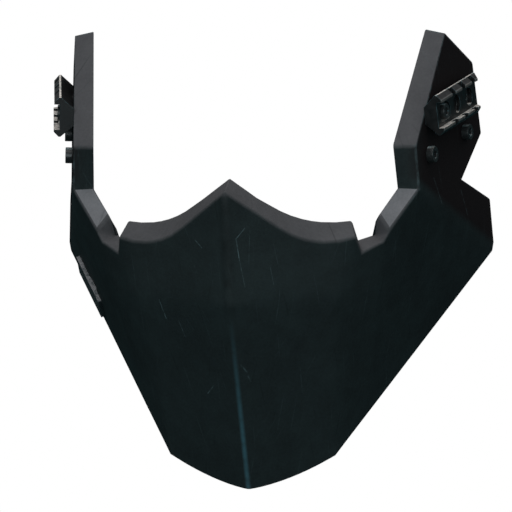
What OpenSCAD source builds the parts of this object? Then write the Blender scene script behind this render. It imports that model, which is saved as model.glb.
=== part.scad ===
// Helmet mandible guard: a moulded shell on two side arms, each arm with an accessory rail,
// a sprung release button and a metal receiver plate that a helmet's side catch enters.
// Millimetres. +Z is up, the guard faces -Y and the wearer's left is +X.
// The origin is midway between the two release buttons.

/* [Shell] */
// Thickness of the moulded wall
wall = 10; // [8:0.5:12]
// Thickness of the wall along the front crease, front to back
crease_wall = 17.5; // [14:0.5:20]
// Distance of the crease's bend in front of the buttons
reach = 103.8; // [95:1:115]
// Height of the crease's bend below the buttons
bend_drop = 83; // [75:1:90]
// Sweep of each front facet back from the crease, in degrees
facet_sweep = 25; // [20:0.5:30]
// Backward lean of the front below its bend, in degrees
chin_lean = 14.4; // [10:0.2:18]
// Height of the chin's lowest point below the buttons
chin_drop = 190.3; // [180:1:200]
// Half width of the front at its top, where the front facet turns into the side
bend_half = 55; // [50:1:60]
// Half width of the front at the chin
chin_half = 44.4; // [38:0.2:50]
// Rise of the chin's edge from its middle to its corner
chin_rise = 13.8; // [10:0.2:18]
// Half width of the nose band at its end
band_half = 63; // [60:0.5:66]

/* [Nose band] */
// Height of the band's peak below the buttons
peak_drop = 22.6; // [18:0.2:28]
// Run of the straight part of the band's edge to each side of the peak
outer_run = 27.4; // [22:0.5:30]
// Slope of that straight part, in degrees
outer_slope = 40; // [36:0.5:43]
// Radius of the dip beside the straight part
outer_dip_r = 40; // [36:1:44]
// Rise of the inner edge above the outer edge at the peak
peak_rise = 3.6; // [1:0.2:5]
// Run of the inner edge's straight part
inner_run = 23; // [20:0.5:28]
// Slope of the inner edge's straight part, in degrees
inner_slope = 36.5; // [33:0.5:39]
// Radius of the inner edge's hollow
inner_dip_r = 54; // [48:1:60]

/* [Arms] */
// Half width over the arms' outer faces at the buttons
arm_x = 100; // [92:0.5:110]
// Angle at which the arms spread backwards, in degrees
splay = 12.3; // [8:0.1:16]
// Angle at which the arms lean in towards their tops, in degrees
lean = 4.4; // [2:0.1:7]
// Height of the arm's top above the button
arm_top = 36; // [34:0.5:44]
// Distance of the arm's rear edge behind the button
arm_rear = 48; // [46:0.5:54]
// Distance of the arm's front bend before the button
arm_front = 45; // [42:0.5:50]
// Height of the ear flange's lower corner below the button
ear_drop = 87; // [80:0.5:95]

/* [Rail] */
// Length of the accessory rail
rail_len = 57; // [50:0.5:60]
// Width over the rail's two sharp edges
rail_w = 21.2; // [20.8:0.1:21.6]
// Width of the rail's waist, where it meets the arm
rail_waist = 9.2; // [8.6:0.1:12]
// Height of the rail
rail_h = 10.4; // [9.6:0.1:11]
// Width of the channel along the rail
channel_w = 13.6; // [12:0.1:14]
// Depth of that channel
channel_depth = 3.1; // [2:0.1:3.4]
// Width of each cross slot
slot_w = 5.2; // [4.6:0.1:5.4]
// Distance from one cross slot to the next
slot_pitch = 14.4; // [13:0.1:15.2]
// Distance of the middle cross slot behind the button
slot_shift = 4.9; // [4:0.1:6]
// Distance from one of the rail's holes to the next
hole_pitch = 17.8; // [16.5:0.1:18.5]
// Length of the pocket round the rail's front screw
pocket_len = 15.8; // [11:0.1:16]
// Chamfer on the rail's rear end
end_chamfer = 3.4; // [2:0.1:3.4]

/* [Fasteners] */
// Diameter of the screws' threads
screw_d = 5; // [4:0.5:5]
// Diameter of the screws' heads
head_d = 8.5; // [8:0.1:9]
// Height of the screws' heads
head_h = 3.9; // [3.2:0.1:4.2]
// Size of the screws' hexagon sockets, across flats
hex_af = 4; // [3:0.5:4]
// Distance of the arm screws below the rail's middle
arm_screw_drop = 20.5; // [18:0.5:22]
// Distance of the front arm screw before the button
arm_screw_front = 28.7; // [25:0.1:30]
// Distance of the rear arm screw behind the button
arm_screw_rear = 23.2; // [20:0.1:26]
// Outer diameter of the clinch nuts
nut_d = 9; // [8:0.1:9.6]
// Length of the clinch nuts
nut_len = 6; // [5:0.5:6.5]
// Thickness of the receiver plate
plate_t = 3; // [2.5:0.1:3.5]
// Diameter of the plate's socket for the helmet's catch
socket_d = 10; // [8:0.1:11]

/* [Release button] */
// Diameter of the button's head
button_d = 9.4; // [9:0.1:9.6]
// Travel of the button
travel = 2.4; // [1.5:0.1:2.6]
// Diameter of the button's stem
stem_d = 6; // [5:0.1:6.5]
// Outer diameter of the sleeve in the arm
sleeve_d = 13; // [12.6:0.1:14]
// Diameter of the spring's wire
wire_d = 0.5; // [0.4:0.05:0.5]
// Turns of the spring
spring_turns = 2.5; // [2:0.5:3]

/* [Jaw plate] */
// Length of the plate on the wearer's right jaw
jaw_plate_len = 34; // [30:1:40]
// Width of that plate
jaw_plate_w = 14; // [12:0.5:16]
// Thickness of that plate
jaw_plate_t = 2; // [1.6:0.1:2.6]
// Distance of its rear end from the ear's corner, along the jaw
jaw_plate_start = 21; // [17:0.5:25]
// Height of its lower side above the jaw's edge
jaw_plate_lift = 6; // [4:0.5:9]
// Distance between its two screws
jaw_screw_gap = 22; // [20:1:24]
// Diameter of those screws' threads
jaw_screw_d = 3; // [2.5:0.5:3]

/* [Pads and lining] */
// Thickness of the lining
liner_t = 1; // [0.8:0.1:1.2]
// Thickness of the hook tape behind each pad
hook_t = 1.1; // [1:0.1:2]
// Thickness of the pads at their crown
pad_t = 13; // [9:0.5:16]
// Bare share of the shell's inside above and below the lining
liner_margin = 0.12; // [0.08:0.01:0.2]
// Half width of the chin pad
chin_pad_half = 27; // [20:0.5:28]
// Height of the chin pad
chin_pad_h = 40; // [30:1:46]
// Height of the chin pad's lower edge above the chin
chin_pad_lift = 17; // [15:0.5:24]

/* [Hidden] */
$fn = 48;
// Gap between pieces that touch, and running clearance round what turns or slides
seat_gap = 0.3;
run_gap = 0.05;
// How far a cutting shape runs past what it cuts
over = 1;

// Vector helpers
function unit(v) = v / norm(v);
function mix(a, b, t) = a + (b - a) * t;
function mirrored(p) = [-p.x, p.y, p.z];
function mitre(a, b) = (a + b) / (1 + a * b);

// The arm's outer face: u stands out of it, a runs back along it and b runs up it
arm_n = [cos(splay) * cos(lean), -sin(splay) * cos(lean), sin(lean)];
arm_a = [sin(splay), cos(splay), 0];
arm_b = [-cos(splay) * sin(lean), sin(splay) * sin(lean), cos(lean)];
function arm_pt(u, a, b) = [arm_x, 0, 0] + arm_n * u + arm_a * a + arm_b * b;

// Corners of the arm, from the front bend's foot round the top and the rear to the ear's foot.
// Each is [a, b] and then how far its inner corner lies off it in a, in b and in extra thickness.
arm_foot = [-arm_front - 1.5, -35, -3, 1.5, 1.4];
arm_corners = [
    [-arm_front, -12.5, -6, 2, 0.6],
    [arm_rear - 36, arm_top, -2, 3, 0],
    [arm_rear - 1, 12, 0, 0, 0],
    [arm_rear, -27, 0, 0, 0],
    [arm_rear - 34, -44, 0, 0, 0],
    [arm_rear + 2, -63, 0, 0, 0]];
arm_heel = [arm_rear + 1, -ear_drop, 1, 2, 0];
function arm_outer(c) = arm_pt(0, c[0], c[1]);
function arm_inner(c) = arm_pt(-wall - c[4], c[0] + c[2], c[1] + c[3]);

// The front: an upper facet that stands nearly upright and a lower one that leans back
facet_slope = tan(facet_sweep);
upper_lean = 0.025;
lower_lean = tan(chin_lean);
function front_y(x, z) = -reach + facet_slope * x
    + (z > -bend_drop ? upper_lean : -lower_lean) * (z + bend_drop);
skin = wall / cos(facet_sweep);
function back_y(x, z) = max(front_y(x, z) + skin, front_y(0, z) + crease_wall);

// The nose band's outer and inner top edges: a straight run, then an arc that bottoms out
function dip_z(x, top, run, slope, r) =
    x < run ? top - x * tan(slope)
    : top - run * tan(slope) - r * (1 - cos(slope))
        + r - sqrt(r * r - pow(x - run - r * sin(slope), 2));
function outer_z(x) = dip_z(x, -peak_drop, outer_run, outer_slope, outer_dip_r);
function inner_z(x) = dip_z(min(x, inner_run + inner_dip_r * sin(inner_slope)),
    peak_rise - peak_drop, inner_run, inner_slope, inner_dip_r);

// Columns of the front, as shares of the half width from the crease to the soft bend
front_shares = [0, 0.08, 0.17, 0.27, 0.38, 0.48, 0.58, 0.68, 0.77, 0.86, 1];
last_front = len(front_shares) - 1;
mid_half = bend_half - 2;
function chin_z(x) = -chin_drop + chin_rise * pow(x / chin_half, 1.7);
function front_top(s) = let (x = s * bend_half, z = outer_z(x)) [x, front_y(x, z), z];
function front_mid(s) = let (x = s * mid_half, z = -bend_drop) [x, front_y(x, z), z];
function front_low(s) = let (x = s * chin_half, z = chin_z(x)) [x, front_y(x, z), z];

// Columns of the side: points along the rim, then along the crease between side and arm
band_end = [band_half, front_y(band_half, outer_z(band_half)), outer_z(band_half)];
notch = [band_half + 1.9, band_end.y + 4.7, band_end.z - 9.5];
wall_foot = [band_half + 12, band_end.y + 13, band_end.z - 5.9];
wall_top = [band_half + 14.9, band_end.y + 15.1, band_end.z - 1];
heel = arm_outer(arm_heel);
foot = arm_outer(arm_foot);
side_tops = [band_end, notch, wall_foot, wall_top, foot, mix(foot, heel, 0.5), heel];
// How far the inner corner of each of the first four lies off the outer one, per unit of wall
rim_shifts = [[0, 0, 0], [-0.45, 0.9, 0.45], [-0.56, 0.91, 0.22], [-0.64, 0.51, 0.78]];
jaw_rear = heel + [-0.8, -0.8, -4.7];
jaw_front = front_low(1);
jaw_shares = [0.07, 0.11, 0.17, 0.23, 0.42, 0.7, 1];
bulge_shares = [0.7, 0.5, 0.3, 0.2, 0, 0, 0];
side_count = len(side_tops);
bend_bulge = front_mid(1) - mix(front_top(1), front_low(1), 0.26);
function side_low(i) = mix(jaw_front, jaw_rear, jaw_shares[i]);
function side_mid(i) = mix(side_tops[i], side_low(i), 0.26) + bend_bulge * bulge_shares[i];

// Every column as [top, middle, bottom] on the outside
outer = concat(
    [for (s = front_shares) [front_top(s), front_mid(s), front_low(s)]],
    [for (i = [0:side_count - 1]) [side_tops[i], side_mid(i), side_low(i)]]);
last = len(outer) - 1;
first_arm = last - 2;

// Outward direction of the side panel at a column
jaw_dir = unit(jaw_rear - jaw_front);
function side_n(k) = unit(cross(jaw_dir, outer[k][0] - outer[k][2]));
front_n = [sin(facet_sweep), -cos(facet_sweep), 0];

// The same columns on the inside
function inner_top(k) =
    k <= last_front + 1
        ? let (x = outer[k][0].x * 0.94, z = inner_z(x)) [x, back_y(x, z), z]
    : k < first_arm
        ? outer[k][0] + wall * rim_shifts[k - last_front - 1]
    : k == last ? arm_inner(arm_heel)
    : k == first_arm ? arm_inner(arm_foot)
    : mix(arm_inner(arm_foot), arm_inner(arm_heel), 0.5);
function inner_row(k, row) = let (p = outer[k][row])
    k < last_front
        ? let (x = p.x - k / last_front * wall * sin(facet_sweep), z = p.z + (row == 2 ? 2.5 : 0))
            [x, back_y(x, z), z]
    : k == last_front ? p - wall * mitre(front_n, side_n(k + 1)) + [0, 0, row == 2 ? 1 : 0]
    : p - wall * side_n(k);
inner = [for (k = [0:last]) [inner_top(k), inner_row(k, 1), inner_row(k, 2)]];

// The shell's points: each column's three outer and three inner ones, then the arm's corners
function ring(k) = [outer[k][0], outer[k][1], outer[k][2], inner[k][2], inner[k][1], inner[k][0]];
right_points = concat([for (k = [0:last]) for (p = ring(k)) p],
    [for (c = arm_corners) arm_outer(c)], [for (c = arm_corners) arm_inner(c)]);
left_points = [for (i = [6:len(right_points) - 1]) mirrored(right_points[i])];
corner_count = len(arm_corners);
corner_base = 6 * (last + 1);
outer_loop = concat([6 * first_arm], [for (i = [0:corner_count - 1]) corner_base + i], [6 * last]);
inner_loop = concat([6 * first_arm + 5],
    [for (i = [0:corner_count - 1]) corner_base + corner_count + i], [6 * last + 5]);
// Fans that fill the arm's outline: the lower ones start at the notch's corner
arm_fans = [[0, 1, 5], [1, 2, 5], [2, 3, 5], [3, 4, 5], [5, 6, 7]];
crease_mid = 6 * (first_arm + 1);
function quad(a, b, c, d) = [[a, c, b], [a, d, c]];
right_faces = concat(
    [for (k = [0:last - 1]) for (j = [0:5])
        if (!(j == 5 && k >= first_arm))
            for (f = quad(6 * k + j, 6 * k + (j + 1) % 6,
                6 * (k + 1) + (j + 1) % 6, 6 * (k + 1) + j)) f],
    [for (f = arm_fans) [outer_loop[f[0]], outer_loop[f[1]], outer_loop[f[2]]]],
    [for (f = arm_fans) [inner_loop[f[0]], inner_loop[f[2]], inner_loop[f[1]]]],
    [[outer_loop[0], outer_loop[5], crease_mid], [crease_mid, outer_loop[5], outer_loop[7]],
     [inner_loop[0], crease_mid + 5, inner_loop[5]], [crease_mid + 5, inner_loop[7], inner_loop[5]]],
    [for (i = [0:corner_count]) for (f = quad(outer_loop[i], outer_loop[i + 1],
        inner_loop[i + 1], inner_loop[i])) f],
    [for (f = [[0, 5, 1], [1, 5, 4], [1, 4, 2], [2, 4, 3]]) [for (j = f) 6 * last + j]]);
function to_left(i) = i < 6 ? i : i + len(right_points) - 6;
left_faces = [for (f = right_faces) [to_left(f[0]), to_left(f[2]), to_left(f[1])]];

// Places children on an arm: side 1 is the wearer's left, side -1 the wearer's right.
// There X stands out of the arm, Y runs back along it and Z runs up it.
module on_arm(side) {
    mirror([side < 0 ? 1 : 0, 0, 0])
        translate([arm_x, 0, 0]) rotate([0, 0, -splay]) rotate([0, -lean, 0]) children();
}
// A rod on the arm from depth u0 out to u1
module rod(u0, u1, d) {
    translate([u0, 0, 0]) rotate([0, 90, 0]) cylinder(h = u1 - u0, d = d);
}
module hex_rod(u0, u1, af) {
    translate([u0, 0, 0]) rotate([0, 90, 0]) cylinder(h = u1 - u0, d = af / cos(30), $fn = 6);
}

// Depths on the arm: the rail's channel floor, the pockets in it and the receiver plate
floor_u = rail_h - channel_depth;
front_seat_u = floor_u - head_h + 1.2;
rear_seat_u = floor_u - head_h - 1.9;
pocket_d = head_d + 0.9;
plate_u = -wall + plate_t;
nut_u = -wall + nut_len;
rail_holes = [-hole_pitch, hole_pitch];
arm_holes = [[-arm_screw_front, -arm_screw_drop], [arm_screw_rear, -arm_screw_drop]];
all_holes = [[rail_holes[0], 0], [rail_holes[1], 0], arm_holes[0], arm_holes[1]];
screw_hole_d = screw_d + 0.5;
plate_edge = nut_d / 2 + 2.5;

module at_holes(holes) {
    for (h = holes) translate([0, h[0], h[1]]) children();
}

// The receiver plate's outline, a rectangle whose upper front corner is cut off
module plate_outline(grow) {
    front = -arm_screw_front - plate_edge - grow;
    rear = arm_screw_rear + plate_edge + grow;
    low = -arm_screw_drop - plate_edge - grow;
    high = socket_d / 2 + 4 + grow;
    polygon([[front + 2, low], [rear - 2, low], [rear, low + 2], [rear, high - 2],
        [rear - 2, high], [-hole_pitch - nut_d / 2 - 1 - grow, high],
        [front, -arm_screw_drop + plate_edge + grow], [front, low + 2]]);
}
module plate_form(u0, u1, grow) {
    translate([u0, 0, 0]) rotate([90, 0, 90]) linear_extrude(u1 - u0) plate_outline(grow);
}

// The jaw plate's frame on the wearer's right panel: X runs forward along the jaw, Y up the panel
jaw_n = mirrored(side_n(last - 1));
jaw_x = -mirrored(jaw_dir);
jaw_y = cross(jaw_n, jaw_x);
jaw_at = mirrored(jaw_rear) + jaw_x * (jaw_plate_start + jaw_plate_len / 2)
    + jaw_y * (jaw_plate_w / 2 + jaw_plate_lift);
jaw_seat = 0.6;
jaw_insert_len = 6;
jaw_insert_d = jaw_screw_d + 1.8;
module on_jaw() {
    multmatrix([[jaw_x.x, jaw_y.x, jaw_n.x, jaw_at.x], [jaw_x.y, jaw_y.y, jaw_n.y, jaw_at.y],
        [jaw_x.z, jaw_y.z, jaw_n.z, jaw_at.z], [0, 0, 0, 1]]) children();
}
module at_jaw_screws() {
    for (s = [-1, 1]) translate([s * jaw_screw_gap / 2, 0, 0]) children();
}
module jaw_block(z0, z1, grow) {
    translate([-jaw_plate_len / 2 - grow, -jaw_plate_w / 2 - grow, z0])
        cube([jaw_plate_len + 2 * grow, jaw_plate_w + 2 * grow, z1 - z0]);
}

module shell() {
    color("darkslategray") difference() {
        polyhedron(concat(right_points, left_points), concat(right_faces, left_faces),
            convexity = 8);
        for (side = [-1, 1]) on_arm(side) {
            rod(-wall - 3, over, sleeve_d + 2 * run_gap);
            at_holes(all_holes) rod(-wall - over, over, screw_hole_d);
            at_holes(all_holes) rod(-wall - over, nut_u + run_gap, nut_d + 4 * run_gap);
            plate_form(-wall - 3, plate_u, 2 * run_gap);
        }
        on_jaw() {
            jaw_block(-jaw_seat, jaw_plate_t, run_gap);
            at_jaw_screws() translate([0, 0, -jaw_seat - jaw_insert_len])
                cylinder(h = jaw_insert_len + over, d = jaw_insert_d + 2 * run_gap);
        }
    }
}

// The rail's section as [out, up] points of its upper half
rail_edge_u = rail_h - (rail_w - channel_w) / 2 + 1.2;
rail_half = [[0, rail_waist / 2], [rail_edge_u - 1, rail_w / 2], [rail_edge_u, rail_w / 2],
    [rail_h, channel_w / 2 + 1.2], [rail_h, channel_w / 2], [floor_u, channel_w / 2]];
module accessory_rail(side) {
    lower = [for (i = [len(rail_half) - 1:-1:0]) [rail_half[i].x, -rail_half[i].y]];
    reach_a = (pocket_len - pocket_d) / 2;
    color("dimgray") on_arm(side) difference() {
        rotate([90, 0, 0]) linear_extrude(rail_len, center = true) polygon(concat(rail_half, lower));
        for (i = [-1:1]) translate([rail_edge_u, slot_shift + i * slot_pitch - slot_w / 2, -rail_w])
            cube([rail_h, slot_w, 2 * rail_w]);
        translate([rail_h, rail_len / 2 - end_chamfer, -rail_w]) rotate([0, 0, 45])
            cube([2 * end_chamfer, 2 * end_chamfer, 2 * rail_w]);
        rod(-over, rail_h, button_d + 2 * run_gap);
        at_holes([[rail_holes[0], 0], [rail_holes[1], 0]]) rod(-over, rail_h, screw_hole_d);
        at_holes([[rail_holes[1], 0]]) rod(rear_seat_u, rail_h, pocket_d);
        at_holes([[rail_holes[0] - reach_a, 0], [rail_holes[0] + reach_a, 0]])
            rod(front_seat_u, rail_h, pocket_d);
        translate([front_seat_u, rail_holes[0] - reach_a, -pocket_d / 2])
            cube([rail_h, 2 * reach_a, pocket_d]);
    }
}

// A socket-head screw whose head sits at depth u, with its tip in the clinch nut
module socket_screw(u) {
    difference() {
        union() {
            rod(u, u + head_h, head_d);
            rod(-wall + 0.4, u, screw_d);
        }
        hex_rod(u + head_h * 0.45, u + head_h + over, hex_af);
    }
}
module rail_screws(side) {
    color("gray") on_arm(side) {
        translate([0, rail_holes[0], 0]) socket_screw(front_seat_u);
        translate([0, rail_holes[1], 0]) socket_screw(rear_seat_u);
    }
}
module arm_screws(side) {
    color("gray") on_arm(side) at_holes(arm_holes) socket_screw(0);
}

module receiver_plate(side) {
    color("silver") on_arm(side) difference() {
        plate_form(-wall, plate_u, 0);
        rod(-wall - over, over, socket_d);
        at_holes(all_holes) rod(-wall - over, over, nut_d + 2 * run_gap);
    }
}
module clinch_nuts(side) {
    color("lightgray") on_arm(side) at_holes(all_holes) difference() {
        rod(-wall, nut_u, nut_d);
        rod(-wall - over, over, screw_d + 2 * run_gap);
    }
}

// The release button: its head shows in the rail's middle hole and a flange under the rail
// keeps it in. Pressed, its stem pushes the helmet's catch out of the receiver plate.
button_top_u = floor_u - 1.3;
flange_t = 1.2;
flange_u = -run_gap - flange_t;
flange_d = sleeve_d - 2.4;
sleeve_floor = 1.2;
module release_button(side) {
    color("black") on_arm(side) {
        difference() {
            union() {
                rod(flange_u + flange_t, button_top_u, button_d);
                rod(flange_u, flange_u + flange_t, flange_d);
                rod(plate_u, flange_u, stem_d);
            }
            rod(button_top_u - 0.6, button_top_u + over, button_d - 2.4);
        }
    }
}
module button_sleeve(side) {
    color("darkgray") on_arm(side) difference() {
        rod(plate_u, 0, sleeve_d);
        rod(plate_u + sleeve_floor, over, flange_d + 4 * run_gap);
        rod(plate_u - over, over, stem_d + 2 * run_gap);
    }
}

// The button's spring: one tube wound between the sleeve's floor and the flange
spring_r = (flange_d + stem_d) / 4;
spring_low = plate_u + sleeve_floor + wire_d / 2 + run_gap;
spring_high = flange_u - wire_d / 2 - run_gap;
spring_steps = 16;
spring_sides = 6;
spring_rings = spring_turns * spring_steps;
function spring_pt(i) = let (t = i * 360 / spring_steps)
    [mix(spring_low, spring_high, i / spring_rings), spring_r * cos(t), spring_r * sin(t)];
function spring_ring(i) = let (
    p = spring_pt(i), along = unit(spring_pt(i + 0.5) - spring_pt(i - 0.5)),
    out = unit([0, p.y, p.z]), across = cross(along, out))
    [for (j = [0:spring_sides - 1]) p + wire_d / 2
        * (out * cos(j * 360 / spring_sides) + across * sin(j * 360 / spring_sides))];
spring_gap = min([for (i = [0:spring_rings]) for (j = [i + spring_steps / 2:spring_rings])
    norm(spring_pt(i) - spring_pt(j))]) - wire_d;
echo(spring_gap = spring_gap);
// Height left in the sleeve when the button is pressed and the spring's turns lie on each other
echo(height_left = flange_u - plate_u - sleeve_floor - travel - wire_d * (spring_turns + 1));
module button_spring(side) {
    points = [for (i = [0:spring_rings]) for (p = spring_ring(i)) p];
    walls = [for (i = [0:spring_rings - 1]) for (j = [0:spring_sides - 1])
        let (a = i * spring_sides + j, b = i * spring_sides + (j + 1) % spring_sides)
        for (f = quad(a, b, b + spring_sides, a + spring_sides)) f];
    ends = concat([for (j = [1:spring_sides - 2]) [0, j, j + 1]],
        [for (j = [1:spring_sides - 2]) let (e = spring_rings * spring_sides)
            [e, e + j + 1, e + j]]);
    color("silver") on_arm(side) polyhedron(points, concat(walls, ends));
}

module jaw_plate() {
    color("darkslategray") on_jaw() difference() {
        jaw_block(-jaw_seat, jaw_plate_t, 0);
        at_jaw_screws() translate([0, 0, -jaw_seat - over])
            cylinder(h = jaw_seat + jaw_plate_t + 2 * over, d = jaw_screw_d + 0.4);
        at_jaw_screws() translate([0, 0, jaw_plate_t - jaw_head_h])
            cylinder(h = jaw_head_h + over, d = jaw_head_d + 0.4);
    }
}
jaw_head_h = 1.2;
jaw_head_d = 2 * jaw_screw_d - 0.5;
module jaw_plate_screws() {
    color("gray") on_jaw() at_jaw_screws() difference() {
        union() {
            translate([0, 0, jaw_plate_t - jaw_head_h]) cylinder(h = jaw_head_h, d = jaw_head_d);
            translate([0, 0, -jaw_seat - jaw_insert_len + 0.5])
                cylinder(h = jaw_insert_len + jaw_seat + jaw_plate_t - jaw_head_h - 0.5,
                    d = jaw_screw_d);
        }
        translate([0, 0, jaw_plate_t - 0.7])
            cylinder(h = over, d = 0.75 * jaw_screw_d / cos(30), $fn = 6);
    }
}
module jaw_plate_inserts() {
    color("goldenrod") on_jaw() at_jaw_screws() translate([0, 0, -jaw_seat - jaw_insert_len])
        difference() {
            cylinder(h = jaw_insert_len, d = jaw_insert_d);
            translate([0, 0, -over])
                cylinder(h = jaw_insert_len + 2 * over, d = jaw_screw_d + 2 * run_gap);
        }
}

// Layers that lie on the shell's inside. A layer is a grid of points on its front and back,
// closed round its rim; rows run along the first index and columns along the second.
function layer_faces(rows, cols) = let (n = rows * cols) concat(
    [for (i = [0:rows - 2]) for (j = [0:cols - 2]) let (a = i * cols + j)
        for (f = quad(a, a + 1, a + cols + 1, a + cols)) f],
    [for (i = [0:rows - 2]) for (j = [0:cols - 2]) let (a = n + i * cols + j)
        for (f = quad(a, a + cols, a + cols + 1, a + 1)) f],
    [for (j = [0:cols - 2]) for (f = quad(j, n + j, n + j + 1, j + 1)) f],
    [for (j = [0:cols - 2]) let (a = (rows - 1) * cols + j)
        for (f = quad(a, a + 1, n + a + 1, n + a)) f],
    [for (i = [0:rows - 2]) let (a = i * cols) for (f = quad(a, a + cols, n + a + cols, n + a)) f],
    [for (i = [0:rows - 2]) let (a = i * cols + cols - 1)
        for (f = quad(a, n + a, n + a + cols, a + cols)) f]);
module layer(front, back, rows, cols) {
    polyhedron(concat(front, back), layer_faces(rows, cols), convexity = 4);
}

// Places on the inside, at a depth off the shell's inner surface
function inward(k) = k <= last_front - 1 ? [0, 1 / cos(facet_sweep), 0]
    : k == last_front ? -mitre(front_n, side_n(k + 1)) : -side_n(k);
function signed(k, p) = k < 0 ? mirrored(p) : p;
function lining_pt(k, row, depth) = let (
    c = abs(k), col = inner[c], mid = col[1],
    p = row == 0 ? mix(col[0], mid, 2 * liner_margin) : row == 1 ? mid
        : mix(col[2], mid, liner_margin))
    signed(k, p + depth * inward(c));
liner_last = last - 1;
module liner() {
    cols = [for (k = [-liner_last:liner_last]) k];
    color("dimgray") layer(
        [for (row = [0:2]) for (k = cols) lining_pt(k, row, seat_gap)],
        [for (row = [0:2]) for (k = cols) lining_pt(k, row, seat_gap + liner_t)],
        3, len(cols));
}

// Pads: s and t run from 0 to 1 across a pad's field, and the crown swells its back
hook_depth = liner_t + 3 * seat_gap;
pad_depth = hook_depth + hook_t + seat_gap;
function crown(s, t) = pow(sin(180 * mix(0.07, 0.93, s)) * sin(180 * mix(0.07, 0.93, t)), 0.4);
function chin_field(s, t, depth) = let (
    x = mix(-chin_pad_half, chin_pad_half, s),
    z = -chin_drop + chin_pad_lift + chin_pad_h * t)
    [x, back_y(abs(x), z) + depth / cos(facet_sweep), z];
cheek_first = last_front + 3;
cheek_last = last - 1;
function cheek_col(f, row) = let (k = min(floor(f), last - 1))
    mix(inner[k][row], inner[k + 1][row], f - k);
function cheek_field(s, t, depth) = let (
    f = mix(cheek_first, cheek_last, mix(0.1, 0.92, s)),
    n = unit(mix(side_n(floor(f)), side_n(ceil(f)), f - floor(f))))
    mix(cheek_col(f, 1), cheek_col(f, 2), mix(0.16, 0.84, t)) - n * depth;
pad_rows = 17;
pad_cols = 21;
// A grid over the field, drawn in at its corners so that the outline is rounded
function rounded(p, q, by) = let (a = 2 * p - 1, b = 2 * q - 1)
    [(a * sqrt(1 - by * b * b) + 1) / 2, (b * sqrt(1 - by * a * a) + 1) / 2];
function grid(rows, cols) =
    [for (i = [0:rows - 1]) for (j = [0:cols - 1]) rounded(j / (cols - 1), i / (rows - 1), 0.22)];
function shrunk(q, by) = [mix(by, 1 - by, q.x), mix(by, 1 - by, q.y)];

module chin_layer(depth0, depth1, inset) {
    cells = [for (q = grid(3, pad_cols)) shrunk(q, inset)];
    layer([for (q = cells) chin_field(q.x, q.y, depth0)],
        [for (q = cells) chin_field(q.x, q.y, depth1)], 3, pad_cols);
}
module chin_pad() {
    cells = grid(pad_rows, pad_cols);
    color("black") layer([for (q = cells) chin_field(q.x, q.y, pad_depth)],
        [for (q = cells) let (r = shrunk(q, 0.05 * (1 - crown(q.x, q.y))))
            chin_field(r.x, r.y, pad_depth + 2 + (pad_t - 2) * crown(q.x, q.y))],
        pad_rows, pad_cols);
}
module hook_patch_chin() {
    color("dimgray") chin_layer(hook_depth, hook_depth + hook_t, 0.1);
}
module cheek_pad(side) {
    cells = grid(pad_rows, pad_cols);
    color("black") mirror([side < 0 ? 1 : 0, 0, 0])
        layer([for (q = cells) cheek_field(q.x, q.y, pad_depth)],
            [for (q = cells) let (r = shrunk(q, 0.05 * (1 - crown(q.x, q.y))))
                cheek_field(r.x, r.y, pad_depth + 2 + (pad_t - 2) * crown(q.x, q.y))],
            pad_rows, pad_cols);
}
module hook_patch_cheek(side) {
    cells = [for (q = grid(5, 9)) shrunk(q, 0.1)];
    color("dimgray") mirror([side < 0 ? 1 : 0, 0, 0])
        layer([for (q = cells) cheek_field(q.x, q.y, hook_depth)],
            [for (q = cells) cheek_field(q.x, q.y, hook_depth + hook_t)], 5, 9);
}

shell();
liner();
accessory_rail(1);  // accessory_rail_left
accessory_rail(-1);  // accessory_rail_right
rail_screws(1);  // rail_screws_left
rail_screws(-1);  // rail_screws_right
arm_screws(1);  // arm_screws_left
arm_screws(-1);  // arm_screws_right
receiver_plate(1);  // receiver_plate_left
receiver_plate(-1);  // receiver_plate_right
clinch_nuts(1);  // clinch_nuts_left
clinch_nuts(-1);  // clinch_nuts_right
button_sleeve(1);  // button_sleeve_left
button_sleeve(-1);  // button_sleeve_right
button_spring(1);  // button_spring_left
button_spring(-1);  // button_spring_right
release_button(1);  // release_button_left
release_button(-1);  // release_button_right
jaw_plate();
jaw_plate_screws();
jaw_plate_inserts();
hook_patch_chin();
hook_patch_cheek(1);  // hook_patch_left
hook_patch_cheek(-1);  // hook_patch_right
chin_pad();
cheek_pad(1);  // cheek_pad_left
cheek_pad(-1);  // cheek_pad_right
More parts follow.
